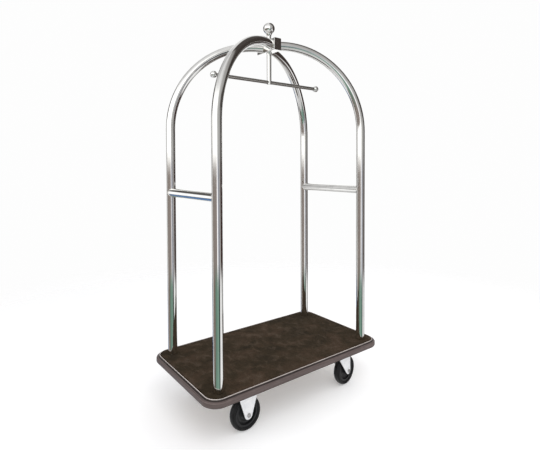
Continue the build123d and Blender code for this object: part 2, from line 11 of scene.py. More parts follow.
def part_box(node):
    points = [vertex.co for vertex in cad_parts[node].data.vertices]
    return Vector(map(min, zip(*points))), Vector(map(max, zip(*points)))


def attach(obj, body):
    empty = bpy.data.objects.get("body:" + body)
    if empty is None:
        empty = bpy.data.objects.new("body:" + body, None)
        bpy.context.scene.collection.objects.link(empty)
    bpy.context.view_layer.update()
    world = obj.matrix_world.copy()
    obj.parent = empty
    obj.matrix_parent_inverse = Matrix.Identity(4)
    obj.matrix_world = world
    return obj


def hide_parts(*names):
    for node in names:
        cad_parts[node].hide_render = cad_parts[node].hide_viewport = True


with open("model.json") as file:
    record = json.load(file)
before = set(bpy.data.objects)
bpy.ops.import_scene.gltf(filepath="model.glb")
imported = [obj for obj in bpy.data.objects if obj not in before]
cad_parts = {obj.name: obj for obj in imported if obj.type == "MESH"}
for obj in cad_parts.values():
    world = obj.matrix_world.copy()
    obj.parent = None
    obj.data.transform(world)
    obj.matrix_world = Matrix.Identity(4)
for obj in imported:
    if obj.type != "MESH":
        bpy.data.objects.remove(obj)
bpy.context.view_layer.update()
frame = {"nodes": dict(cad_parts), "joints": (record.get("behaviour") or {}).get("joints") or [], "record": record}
nodes = frame["nodes"]
scene = bpy.context.scene

# ---------------------------------------------------------------------------------------------
# Camera
# ---------------------------------------------------------------------------------------------
EYE = Vector((-1.3755, -1.8157, 1.2326))
HEADING = 0.6474  # radians from +Y towards +X
PITCH = math.radians(-1.49)
ROLL = math.radians(-0.22)
LENS = 27.896

camera_data = bpy.data.cameras.new("camera")
camera_data.sensor_width = 36.0
camera_data.lens = LENS
camera_data.shift_x = 0.0016
camera_data.shift_y = -0.0900
camera_data.clip_start = 0.05
camera_data.clip_end = 100.0
camera = bpy.data.objects.new("camera", camera_data)
scene.collection.objects.link(camera)
camera.location = EYE
ahead = Vector(
    (
        math.sin(HEADING) * math.cos(PITCH),
        math.cos(HEADING) * math.cos(PITCH),
        math.sin(PITCH),
    )
)
camera.rotation_mode = "QUATERNION"
camera.rotation_quaternion = ahead.to_track_quat("-Z", "Y") @ Quaternion((0, 0, 1), ROLL)
scene.camera = camera


# ---------------------------------------------------------------------------------------------
# Measures
# ---------------------------------------------------------------------------------------------
SIDES = (("front", -1), ("back", 1))
ENDS = (("left", -1), ("right", 1))
TUBE_RADIUS = 0.024
BUMPER_CORNER = 0.0775  # outside corner radius, seen from above
CARPET_CORNER = 0.056

bumper_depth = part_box("bumper")[1].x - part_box("edge_trim")[1].x
posts_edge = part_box("arch_tube_back_right")[1]
post_x = posts_edge.x - TUBE_RADIUS
post_y = posts_edge.y - TUBE_RADIUS
posts = [(along * post_x, across * post_y) for _, along in ENDS for _, across in SIDES]


# ---------------------------------------------------------------------------------------------
# Node trees
# ---------------------------------------------------------------------------------------------
class Tree:
    """A short way to write a node tree: every method adds one node and returns its output."""

    def __init__(self, tree):
        self.tree = tree
        self.nodes = tree.nodes
        self.nodes.clear()

    def add(self, kind, **settings):
        node = self.nodes.new(kind)
        for key, value in settings.items():
            setattr(node, key, value)
        return node

    def put(self, socket, value):
        """Link an output into a socket, or set the socket's own value."""
        if isinstance(value, bpy.types.NodeSocket):
            self.tree.links.new(value, socket)
        elif value is not None:
            socket.default_value = value

    def place(self, scale=(1, 1, 1), turn=(0, 0, 0), shift=(0, 0, 0)):
        """The piece's own coordinates in metres, stretched."""
        coords = self.add("ShaderNodeTexCoord").outputs["Object"]
        mapping = self.add("ShaderNodeMapping")
        self.put(mapping.inputs["Vector"], coords)
        mapping.inputs["Scale"].default_value = scale
        mapping.inputs["Rotation"].default_value = turn
        mapping.inputs["Location"].default_value = shift
        return mapping.outputs[0]

    def noise(self, vector, scale, detail=4.0, rough=0.55, warp=0.0):
        node = self.add("ShaderNodeTexNoise")
        self.put(node.inputs["Vector"], vector)
        node.inputs["Scale"].default_value = scale
        node.inputs["Detail"].default_value = detail
        node.inputs["Roughness"].default_value = rough
        node.inputs["Distortion"].default_value = warp
        return node.outputs["Fac"]

    def cells(self, vector, scale):
        """Distance from the nearest of scattered points."""
        node = self.add("ShaderNodeTexVoronoi")
        self.put(node.inputs["Vector"], vector)
        node.inputs["Scale"].default_value = scale
        return node.outputs["Distance"]

    def waves(self, vector, scale, warp, detail, direction):
        node = self.add("ShaderNodeTexWave", wave_type="BANDS", bands_direction=direction)
        self.put(node.inputs["Vector"], vector)
        node.inputs["Scale"].default_value = scale
        node.inputs["Distortion"].default_value = warp
        node.inputs["Detail"].default_value = detail
        return node.outputs["Fac"]

    def ramp(self, fac, *stops):
        """stops are (position, colour or grey)."""
        node = self.add("ShaderNodeValToRGB")
        marks = node.color_ramp.elements
        while len(marks) < len(stops):
            marks.new(0.5)
        for mark, (at, colour) in zip(marks, stops):
            mark.position = at
        for mark, (at, colour) in zip(marks, stops):
            if isinstance(colour, (int, float)):
                colour = (colour, colour, colour)
            mark.color = (*colour, 1.0)
        self.put(node.inputs[0], fac)
        return node.outputs[0]

    def mix(self, fac, a, b):
        node = self.add("ShaderNodeMix", data_type="RGBA")
        self.put(node.inputs["Factor"], fac)
        for name, value in (("A", a), ("B", b)):
            if isinstance(value, tuple) and len(value) == 3:
                value = (*value, 1.0)
            socket = [s for s in node.inputs if s.name == name and s.type == "RGBA"][0]
            self.put(socket, value)
        return [s for s in node.outputs if s.type == "RGBA"][0]

    def math(self, op, a, b=None, c=None):
        node = self.add("ShaderNodeMath", operation=op)
        for socket, value in zip(node.inputs, (a, b, c)):
            self.put(socket, value)
        return node.outputs[0]

    def dot(self, vector, axis):
        node = self.add("ShaderNodeVectorMath", operation="DOT_PRODUCT")
        self.put(node.inputs[0], vector)
        node.inputs[1].default_value = axis
        return node.outputs["Value"]

    def span(self, value, low, high, to_low=0.0, to_high=1.0):
        """A smooth step between two values."""
        node = self.add("ShaderNodeMapRange", interpolation_type="SMOOTHSTEP")
        for name, number in (
            ("Value", value),
            ("From Min", low),
            ("From Max", high),
            ("To Min", to_low),
            ("To Max", to_high),
        ):
            self.put(node.inputs[name], number)
        return node.outputs[0]

    def inset(self, high, corner):
        """Distance in from a rounded outline round the origin, from its highest X and Y."""
        where = self.place()
        over = []
        for axis, half in (((1, 0, 0), high.x), ((0, 1, 0), high.y)):
            across = self.math("ABSOLUTE", self.dot(where, axis))
            over.append(self.math("MAXIMUM", self.math("SUBTRACT", across, half - corner), 0.0))
        reach = self.math("POWER", over[0], 2.0)
        reach = self.math("ADD", reach, self.math("POWER", over[1], 2.0))
        return self.math("SUBTRACT", corner, self.math("SQRT", reach))

    def bump(self, height, strength, distance, under=None):
        node = self.add("ShaderNodeBump")
        node.inputs["Strength"].default_value = strength
        node.inputs["Distance"].default_value = distance
        self.put(node.inputs["Height"], height)
        self.put(node.inputs["Normal"], under)
        return node.outputs[0]


def material(name, build, **sockets):
    """A material on one Principled shader. build(tree) returns what is linked into it."""
    made = bpy.data.materials.new(name)
    made.use_nodes = True
    tree = Tree(made.node_tree)
    shader = tree.add("ShaderNodeBsdfPrincipled")
    output = tree.add("ShaderNodeOutputMaterial")
    tree.put(output.inputs["Surface"], shader.outputs[0])
    for key, value in sockets.items():
        shader.inputs[key.replace("_", " ")].default_value = value
    for key, value in build(tree).items():
        tree.put(shader.inputs[key], value)
    return made


# ---------------------------------------------------------------------------------------------
# Materials
# ---------------------------------------------------------------------------------------------
def polished(tree, tint=(0.86, 0.855, 0.84), smear=1.0, lines=(700, 700, 9)):
    """Polished stainless steel: faint drawing lines, wiped smears and a few fine scratches."""
    smears = tree.noise(tree.place((5, 5, 2.2)), 3.0, 5.0, 0.62, 0.8)
    drawn = tree.noise(tree.place(lines), 1.0, 2.0, 0.5)
    dust = tree.noise(tree.place(shift=(3, 1, 2)), 260.0, 2.0, 0.6)
    scratch = tree.span(
        tree.noise(tree.place((60, 900, 900), (0.3, 0.5, 0.7)), 1.0, 1.0, 0.4),
        0.70,
        0.74,
    )
    colour = tree.mix(
        tree.span(smears, 0.35, 0.72),
        tint,
        tuple(0.90 * c for c in tint),
    )
    colour = tree.mix(tree.span(dust, 0.66, 0.80, 0.0, 0.10), colour, (0.60, 0.58, 0.55))
    rough = tree.span(smears, 0.38, 0.74, 0.045, 0.045 + 0.065 * smear)
    rough = tree.math("ADD", rough, tree.span(drawn, 0.3, 0.7, 0.0, 0.025))
    rough = tree.math("ADD", rough, tree.math("MULTIPLY", scratch, 0.10))
    normal = tree.bump(drawn, 0.10, 0.00004)
    normal = tree.bump(scratch, 0.12, 0.00004, normal)
    return {"Base Color": colour, "Roughness": rough, "Normal": normal}


def zinc(tree):
    """Bright zinc plate: clouded, with a fine grain and duller patches."""
    cloud = tree.noise(tree.place(), 38.0, 5.0, 0.6, 0.4)
    grain = tree.noise(tree.place(), 900.0, 3.0, 0.6)
    spangle = tree.cells(tree.place(), 170.0)
    colour = tree.ramp(
        cloud, (0.30, (0.84, 0.85, 0.87)), (0.52, (0.94, 0.945, 0.955)), (0.75, (0.98, 0.982, 0.985))
    )
    colour = tree.mix(tree.span(spangle, 0.2, 0.75, 0.0, 0.16), colour, (0.66, 0.67, 0.70))
    rough = tree.span(cloud, 0.3, 0.7, 0.42, 0.30)
    normal = tree.bump(grain, 0.20, 0.00012)
    normal = tree.bump(spangle, 0.10, 0.0002, normal)
    return {"Base Color": colour, "Roughness": rough, "Normal": normal}


def steel_fastener(tree):
    """Plated fasteners: turning marks, a little dirt and dull corners."""
    turned = tree.noise(tree.place((300, 300, 2500)), 1.0, 2.0, 0.5)
    dirt = tree.noise(tree.place(), 120.0, 5.0, 0.65)
    colour = tree.ramp(
        dirt,
        (0.30, (0.30, 0.29, 0.28)),
        (0.55, (0.60, 0.60, 0.60)),
        (0.8, (0.74, 0.74, 0.73)),
    )
    rough = tree.span(dirt, 0.3, 0.75, 0.50, 0.26)
    return {
        "Base Color": colour,
        "Roughness": rough,
        "Normal": tree.bump(turned, 0.25, 0.0001),
    }


def ground_steel(tree):
    """Ground bearing steel with a film of grease."""
    ground = tree.noise(tree.place((1400, 1400, 200)), 1.0, 2.0, 0.5)
    grease = tree.noise(tree.place(), 70.0, 4.0, 0.6)
    return {
        "Base Color": tree.ramp(grease, (0.35, (0.40, 0.36, 0.30)), (0.6, (0.60, 0.60, 0.60))),
        "Roughness": tree.span(grease, 0.3, 0.7, 0.42, 0.20),
        "Normal": tree.bump(ground, 0.15, 0.00005),
    }


def satin_trim(tree):
    """Satin aluminium edging: drawn along its length, with nicks, a rosy grey cast and painted shade on its outer
    face below the lip.
    """
    drawn = tree.noise(tree.place((6, 6, 1800)), 1.0, 3.0, 0.6)
    nick = tree.span(tree.noise(tree.place(), 75.0, 5.0, 0.7), 0.62, 0.72)
    tone = tree.noise(tree.place(), 9.0, 3.0, 0.5)
    colour = tree.ramp(tone, (0.3, (0.70, 0.63, 0.60)), (0.7, (0.88, 0.80, 0.77)))
    colour = tree.mix(tree.math("MULTIPLY", nick, 0.35), colour, (0.36, 0.31, 0.29))
    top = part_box("edge_trim")[1].z
    # Painted shade: the outer face below the lip is darkened to stand for the shadow in the gap between trim and
    # bumper.
    level = tree.dot(tree.place(), (0, 0, 1))
    painted_shade = tree.span(level, top - 0.0038, top - 0.0018, 0.88, 0.0)
    colour = tree.mix(painted_shade, colour, (0.055, 0.042, 0.038))
    rough = tree.math("ADD", tree.span(drawn, 0.3, 0.7, 0.26, 0.40), tree.math("MULTIPLY", nick, 0.2))
    rough = tree.math("ADD", rough, tree.math("MULTIPLY", painted_shade, 0.3))
    return {
        "Base Color": colour,
        "Roughness": rough,
        "Normal": tree.bump(drawn, 0.2, 0.0001),
    }


def vinyl(tree):
    """Grey-brown vinyl bumper: extrusion streaks, rub marks, a fine skin, and painted shade towards its bottom and
    in the groove by the trim.
    """
    streak = tree.noise(tree.place((3.0, 3.0, 420.0)), 1.0, 4.0, 0.65)
    rub = tree.noise(tree.place((14, 14, 60)), 1.0, 5.0, 0.68, 0.5)
    skin = tree.noise(tree.place(), 1500.0, 2.0, 0.6)
    colour = tree.ramp(
        streak,
        (0.28, (0.058, 0.042, 0.039)),
        (0.50, (0.100, 0.074, 0.069)),
        (0.74, (0.150, 0.115, 0.108)),
    )
    colour = tree.mix(tree.span(rub, 0.50, 0.76, 0.0, 0.30), colour, (0.240, 0.204, 0.188))
    colour = tree.mix(tree.span(rub, 0.44, 0.28, 0.0, 0.40), colour, (0.060, 0.043, 0.040))
    low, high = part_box("bumper")
    # Painted shade: the bumper is darkened towards its bottom edge, where shade falls under its rounded face.
    level = tree.dot(tree.place(), (0, 0, 1))
    painted_shade = tree.span(level, low.z + 0.002, low.z + 0.40 * (high.z - low.z), 0.60, 0.0)
    colour = tree.mix(painted_shade, colour, (0.040, 0.030, 0.028))
    # Painted shade: the top of the bumper is darkened close to the trim, standing for the shadow in the groove
    # between them.
    depth = tree.inset(high, BUMPER_CORNER)
    painted_groove_shade = tree.span(depth, 0.40 * bumper_depth, 0.70 * bumper_depth, 0.0, 0.92)
    colour = tree.mix(painted_groove_shade, colour, (0.022, 0.014, 0.013))
    rough = tree.span(rub, 0.3, 0.72, 0.40, 0.58)
    normal = tree.bump(streak, 0.30, 0.00025)
    normal = tree.bump(skin, 0.25, 0.00008, normal)
    return {"Base Color": colour, "Roughness": rough, "Normal": normal}


def pile(tree):
    """Dark brown short pile: mottled by use, paler where it is brushed up, with single tufts and painted shade
    between them.
    """
    patches = tree.noise(tree.place((1.0, 1.25, 1.0)), 5.2, 5.0, 0.62, 0.9)
    marks = tree.noise(tree.place((1.4, 1.0, 1.0), (0, 0, 0.5), (2, 5, 0)), 17.0, 5.0, 0.66, 0.6)
    tufts = tree.noise(tree.place(), 520.0, 2.0, 0.7)
    clumps = tree.cells(tree.place(), 310.0)
    colour = tree.ramp(
        patches,
        (0.30, (0.031, 0.023, 0.013)),
        (0.48, (0.055, 0.038, 0.021)),
        (0.62, (0.082, 0.052, 0.032)),
        (0.78, (0.122, 0.088, 0.060)),
    )
    colour = tree.mix(tree.span(marks, 0.46, 0.74, 0.0, 0.62), colour, (0.150, 0.108, 0.078))
    colour = tree.mix(tree.span(marks, 0.46, 0.27, 0.0, 0.55), colour, (0.020, 0.015, 0.009))
    # Painted shade: the pile is darkened where the tufts dip, standing for shade deep in the pile.
    colour = tree.mix(tree.span(tufts, 0.34, 0.68, 0.55, 0.0), colour, (0.010, 0.007, 0.005))
    colour = tree.mix(tree.span(clumps, 0.15, 0.75, 0.0, 0.40), colour, (0.010, 0.008, 0.006))
    normal = tree.bump(tufts, 0.85, 0.0016)
    normal = tree.bump(clumps, 0.45, 0.0012, normal)
    return {"Base Color": colour, "Normal": normal}


def plywood(tree):
    """Oiled plywood: long grain on the faces and thin veneers on the edges."""
    grain = tree.noise(tree.place((5, 55, 260)), 1.0, 6.0, 0.62, 1.1)
    veneer = tree.span(tree.waves(tree.place(), 75.0, 0.4, 1.0, "Z"), 0.3, 0.7)
    colour = tree.ramp(
        grain, (0.25, (0.20, 0.125, 0.065)), (0.5, (0.40, 0.28, 0.165)), (0.78, (0.55, 0.41, 0.26))
    )
    colour = tree.mix(tree.math("MULTIPLY", veneer, 0.35), colour, (0.22, 0.14, 0.08))
    return {
        "Base Color": colour,
        "Roughness": tree.span(grain, 0.3, 0.7, 0.72, 0.50),
        "Normal": tree.bump(grain, 0.35, 0.0004),
    }


def powder_coat(tree):
    """Black powder coat with orange peel, chips and floor dust on it."""
    peel = tree.noise(tree.place(), 420.0, 2.0, 0.5)
    dust = tree.noise(tree.place((1, 1, 3)), 22.0, 6.0, 0.7)
    chip = tree.span(tree.noise(tree.place(shift=(4, 4, 4)), 90.0, 4.0, 0.7), 0.70, 0.73)
    colour = tree.ramp(dust, (0.35, (0.018, 0.018, 0.019)), (0.75, (0.075, 0.072, 0.068)))
    colour = tree.mix(tree.math("MULTIPLY", chip, 0.6), colour, (0.22, 0.20, 0.18))
    return {
        "Base Color": colour,
        "Roughness": tree.span(dust, 0.35, 0.75, 0.34, 0.62),
        "Normal": tree.bump(peel, 0.28, 0.0002),
    }


def wheel_place(tree, joint):
    """Distance from the middle of a wheel along its axle, and from the axle."""
    middle = joint["pos_m"]
    where = tree.place(shift=tuple(-value for value in middle))
    along = tree.dot(where, tuple(joint["axis"]))
    length = tree.add("ShaderNodeVectorMath", operation="LENGTH")
    tree.put(length.inputs[0], where)
    square = tree.math("POWER", length.outputs["Value"], 2.0)
    square = tree.math("SUBTRACT", square, tree.math("MULTIPLY", along, along))
    return tree.math("ABSOLUTE", along), tree.math("SQRT", tree.math("MAXIMUM", square, 0.0))


def ridges(tree, value, low, high, pitch):
    """Rounded ridges over one stretch of a distance, from 0 in the grooves to 1 on top."""
    wave = tree.math("SINE", tree.math("MULTIPLY", value, 2 * math.pi / pitch))
    wave = tree.math("MULTIPLY_ADD", wave, 0.5, 0.5)
    above = tree.math("GREATER_THAN", value, low)
    below = tree.math("LESS_THAN", value, high)
    inside = tree.math("MULTIPLY", above, below)
    flat = tree.math("SUBTRACT", 1.0, inside)
    return tree.math("ADD", tree.math("MULTIPLY", wave, inside), flat)


def rubber(tree, joint):
    """Black tyre rubber, a little dusty, with moulded rings on its sides and grooves in its tread; painted shade
    in their grooves and a painted highlight along their ridges.
    """
    dust = tree.noise(tree.place(), 26.0, 6.0, 0.68, 0.5)
    grain = tree.noise(tree.place(), 1300.0, 2.0, 0.6)
    scuff = tree.noise(tree.place((1, 1, 1), (0.4, 0.2, 0.9)), 150.0, 4.0, 0.7)
    colour = tree.ramp(
        dust,
        (0.34, (0.003, 0.003, 0.004)),
        (0.60, (0.007, 0.007, 0.008)),
        (0.82, (0.026, 0.026, 0.026)),
    )
    colour = tree.mix(tree.span(scuff, 0.58, 0.74, 0.0, 0.35), colour, (0.050, 0.049, 0.048))
    along, radius = wheel_place(tree, joint)
    tread = joint["pos_m"][2]  # the tread's radius: a wheel stands on the floor
    rings = ridges(tree, radius, tread - 0.016, tread - 0.004, 0.0042)
    grooves = ridges(tree, along, 0.0035, 0.0115, 0.0040)
    on_tread = tree.span(radius, tread - 0.0035, tread - 0.0025)
    moulded = tree.mix(on_tread, rings, grooves)
    # Painted shade: the bottoms of the moulded rings and tread grooves are darkened.
    colour = tree.mix(tree.span(moulded, 0.0, 0.45, 0.80, 0.0), colour, (0.002, 0.002, 0.002))
    # Painted highlight: a paler band along the shoulders of the moulded ridges.
    painted_crest_highlight = tree.math("MULTIPLY", tree.span(moulded, 0.70, 0.95), tree.span(moulded, 0.999, 0.985))
    colour = tree.mix(tree.math("MULTIPLY", painted_crest_highlight, 0.5), colour, (0.060, 0.060, 0.060))
    normal = tree.bump(moulded, 0.9, 0.0009)
    return {
        "Base Color": colour,
        "Roughness": tree.span(dust, 0.3, 0.75, 0.34, 0.58),
        "Normal": tree.bump(grain, 0.30, 0.0001, normal),
    }


def nylon(tree, joint):
    """Black moulded nylon with flow marks, a little dust and turned rings in its web, with painted shade in their
    grooves.
    """
    flow = tree.noise(tree.place((1, 1, 1)), 60.0, 5.0, 0.6, 1.4)
    grain = tree.noise(tree.place(), 1700.0, 2.0, 0.5)
    colour = tree.ramp(flow, (0.3, (0.006, 0.006, 0.007)), (0.75, (0.026, 0.027, 0.029)))
    _, radius = wheel_place(tree, joint)
    rings = ridges(tree, radius, 0.024, 0.050, 0.0130)
    # Painted shade: the grooves between the turned rings are darkened.
    colour = tree.mix(tree.span(rings, 0.0, 0.5, 0.6, 0.0), colour, (0.002, 0.002, 0.002))
    normal = tree.bump(rings, 0.8, 0.0015)
    return {
        "Base Color": colour,
        "Roughness": tree.span(flow, 0.3, 0.75, 0.34, 0.52),
        "Normal": tree.bump(grain, 0.25, 0.00008, normal),
    }


def weld(tree):
    """Brushed-out weld: duller than the tube, straw and blue at its edges."""
    heat = tree.noise(tree.place(), 90.0, 4.0, 0.6, 0.8)
    brushed = tree.noise(tree.place(), 1200.0, 2.0, 0.6)
    return {
        "Base Color": tree.ramp(
            heat, (0.30, (0.60, 0.58, 0.60)), (0.5, (0.80, 0.79, 0.77)), (0.72, (0.80, 0.76, 0.68))
        ),
        "Roughness": tree.span(heat, 0.3, 0.7, 0.20, 0.36),
        "Normal": tree.bump(brushed, 0.25, 0.0001),
    }


def small_fittings(tree):
    """The same steel, buffed a little brighter, with tighter smears."""
    return polished(tree, (0.87, 0.865, 0.85), 0.7, (500, 500, 40))


def satin_rail(tree):
    """The hanging rail: darker satin steel, worn in fine lines where hangers slide along it."""
    look = polished(tree, (0.40, 0.385, 0.365), 1.6, (9, 900, 900))
    worn = tree.noise(tree.place((160, 12, 12)), 1.0, 4.0, 0.6)
    look["Roughness"] = tree.math("ADD", look["Roughness"], tree.span(worn, 0.35, 0.7, 0.10, 0.22))
    return look


finishes = {
    "tube": material("polished_tube", polished, Metallic=1.0),
    "fittings": material("polished_fittings", small_fittings, Metallic=1.0),
    "carpet": material(
        "carpet_pile",
        pile,
        Roughness=0.95,
        Sheen_Weight=0.03,
        Sheen_Roughness=0.5,
        Specular_IOR_Level=0.0,
    ),
    "board": material("oiled_plywood", plywood),
    "trim": material("satin_trim", satin_trim, Metallic=0.7),
    "bumper": material("vinyl_bumper", vinyl, Specular_IOR_Level=0.42),
    "rails": material("powder_coat", powder_coat),
    "zinc": material("bright_zinc", zinc, Metallic=0.25),
    "fastener": material("plated_fasteners", steel_fastener, Metallic=1.0),
    "bearing": material("bearing_steel", ground_steel, Metallic=1.0),
}
for joint in frame["joints"]:
    wheel = joint["child"]
    if wheel.startswith("wheel_"):
        place = wheel.removeprefix("wheel_")
        finishes[f"tyre_{place}"] = material(
            f"rubber_{place}", lambda tree: rubber(tree, joint), Specular_IOR_Level=0.3
        )
        finishes[f"core_{place}"] = material(
            f"nylon_{place}", lambda tree: nylon(tree, joint), Specular_IOR_Level=0.5
        )
finishes["hanger_bar"] = material("satin_rail", satin_rail, Metallic=1.0)
weld_metal = material("weld_metal", weld, Metallic=1.0)

for part in frame["record"]["subparts"]:
    node = nodes[part["node"]]
    node.data.materials.clear()
    node.data.materials.append(finishes.get(part["node"]) or finishes[part["material_slot"]])


# ---------------------------------------------------------------------------------------------
# Pieces
# ---------------------------------------------------------------------------------------------
def piece(name, points, faces, body, look):
    """A new smooth mesh in the row frame that rides on a body."""
    mesh = bpy.data.meshes.new(name)
    mesh.from_pydata(points, [], faces)
    mesh.validate()
    obj = bpy.data.objects.new(name, mesh)
    scene.collection.objects.link(obj)
    mesh.materials.append(look)
    mesh.polygons.foreach_set("use_smooth", [True] * len(mesh.polygons))
    mesh.update()
    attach(obj, body)
    return obj


def bead(name, line, radius, seed):
    """A weld bead along a closed line: a round string with the ripples of its passes."""
    count = len(line)
    sides = 10
    centre = sum(line, Vector()) / count
    points = []
    for i, at in enumerate(line):
        along = (line[(i + 1) % count] - line[i - 1]).normalized()
        out = at - centre
        out = (out - along * out.dot(along)).normalized()
        up = along.cross(out)
        ripple = 0.16 * math.sin(i * 1.35) + 0.30 * noise.noise(Vector((i * 0.11, seed, 0.5)))
        size = radius * (1.0 + ripple)
        for k in range(sides):
            angle = 2 * math.pi * k / sides
            points.append(at + out * (size * math.cos(angle)) + up * (size * math.sin(angle)))
    faces = []
    for i in range(count):
        j = (i + 1) % count
        for k in range(sides):
            m = (k + 1) % sides
            faces.append((i * sides + k, i * sides + m, j * sides + m, j * sides + k))
    piece(name, points, faces, "cart", weld_metal)


def closed_line(steps, point):
    """Points all the way round, from a function of the angle."""
    return [point(2 * math.pi * i / steps) for i in range(steps)]


def weld_crossbar(side, across, end, along):
    """Weld where a push bar meets a post: the line in which one cylinder cuts the other."""
    low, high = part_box(f"crossbar_{end}")
    middle_x = (low.x + high.x) / 2
    middle_z = (low.z + high.z) / 2
    bar_radius = (high.z - low.z) / 2
    reach = posts_edge.x - abs(middle_x)  # radius of the post's mesh, which is faceted

    def point(turn):
        x = bar_radius * math.cos(turn)
        y = posts_edge.y - reach - math.sqrt(max(reach**2 - x * x, 0.0))
        return Vector((middle_x + x, across * y, middle_z + bar_radius * math.sin(turn)))

    line = closed_line(132, point)
    bead(f"weld_crossbar_{side}_{end}", line, radius=0.0019, seed=along + 2.5 * across)


def weld_hub(side, across, end, along):
    """Weld where an arch meets the hub: the slanted cut of its tube, just proud of the hub's face."""
    low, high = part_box("hub_box")
    middle_z = (low.z + high.z) / 2
    spread = 0.045  # from the hub's middle to where the tube meets it
    proud = 0.0006
    run_x = post_x - high.x
    slant = math.hypot(run_x, post_y - spread) / run_x

    def point(turn):
        return Vector(
            (
                along * (high.x + proud),
                across * spread + slant * TUBE_RADIUS * math.cos(turn),
                middle_z + TUBE_RADIUS * math.sin(turn),
            )
        )

    line = closed_line(120, point)
    bead(f"weld_hub_{side}_{end}", line, radius=0.0018, seed=7 * along + across)


for weld_at in (weld_crossbar, weld_hub):
    for end, along in ENDS:
        for side, across in SIDES:
            weld_at(side, across, end, along)


# ---------------------------------------------------------------------------------------------
# Carpet
# ---------------------------------------------------------------------------------------------
def carpet_piece():
    """A cut mat of short pile: tufted top, rolled-over edge, and a close hole round each post."""
    low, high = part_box("carpet")
    half_x = (high.x - low.x) / 2
    half_y = (high.y - low.y) / 2
    cell = 0.0032
    columns = round(2 * half_x / cell)
    wide = columns + 1
    arc_steps = 26
    top = high.z - 0.0004  # mean height of the tufts
    roll = 0.0030  # how far in the pile starts to roll over
    dip = 0.006  # how far from a post the pile is pressed down
    hole = TUBE_RADIUS - 0.0025  # the cut hides inside the tube

    def rim_distance(x, y):
        dx = abs(x) - (half_x - CARPET_CORNER)
        dy = abs(y) - (half_y - CARPET_CORNER)
        if dx > 0 and dy > 0:
            return CARPET_CORNER - math.hypot(dx, dy)
        return min(half_x - abs(x), half_y - abs(y))

    def height(x, y):
        z = top
        z += 0.00050 * noise.noise(Vector((x * 9, y * 9, 1.7)))
        z += 0.00042 * noise.noise(Vector((x * 62, y * 62, 4.1)))
        z += 0.00075 * (noise.noise(Vector((x * 190, y * 190, 9.3))) - 0.25)
        edge = max(rim_distance(x, y), 0.0)
        if edge < roll:
            share = 1 - edge / roll
            z -= roll * (1 - math.sqrt(max(1 - share * share, 0.0)))
        near = min(math.hypot(x - px, y - py) for px, py in posts) - TUBE_RADIUS
        if near < dip:
            z -= 0.0016 * (1 - max(near, 0.0) / dip) ** 2
        return min(z, high.z - 0.00005)

    # Rows from back to front: each is a height along Y and how far it reaches along X.
    rows = []
    for i in range(arc_steps):
        angle = math.pi / 2 * i / arc_steps
        y = half_y - CARPET_CORNER * (1 - math.cos(angle))
        rows.append((y, half_x - CARPET_CORNER * (1 - math.sin(angle))))
    straight = max(1, round((half_y - CARPET_CORNER) / cell))
    for i in range(straight + 1):
        rows.append(((half_y - CARPET_CORNER) * (1 - i / straight), half_x))
    rows += [(-y, reach) for y, reach in reversed(rows[:-1])]

    points = []
    for y, reach in rows:
        for j in range(wide):
            share = 2 * j / columns - 1
            inside = abs(share) * reach
            if reach - inside < 0.5 * cell and abs(share) < 1:
                inside = reach - 0.0012
            x = math.copysign(inside, share)
            points.append(Vector((x, y, height(x, y))))
    faces = []
    for i in range(len(rows) - 1):
        for j in range(columns):
            corner = i * wide + j
            faces.append((corner, corner + wide, corner + wide + 1, corner + 1))

    # A skirt from the rim down to the board.
    rim = list(range(wide))
    rim += [i * wide + columns for i in range(1, len(rows))]
    rim += [(len(rows) - 1) * wide + j for j in range(columns - 1, -1, -1)]
    rim += [i * wide for i in range(len(rows) - 2, 0, -1)]
    skirt = len(points)
    for index in rim:
        points.append(Vector((points[index].x, points[index].y, low.z)))
    for i in range(len(rim)):
        j = (i + 1) % len(rim)
        faces.append((rim[i], rim[j], skirt + j, skirt + i))

    obj = piece("carpet_mat", points, faces, "cart", finishes["carpet"])
    mesh = obj.data
    shape = bmesh.new()
    shape.from_mesh(mesh)
    cut = []
    for face in shape.faces:
        middle = face.calc_center_median()
        if any(math.hypot(middle.x - px, middle.y - py) < hole for px, py in posts):
            cut.append(face)
    bmesh.ops.delete(shape, geom=cut, context="FACES")
    bmesh.ops.recalc_face_normals(shape, faces=shape.faces)
    shape.to_mesh(mesh)
    shape.free()
    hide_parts("carpet")
    return obj


carpet_mat = carpet_piece()


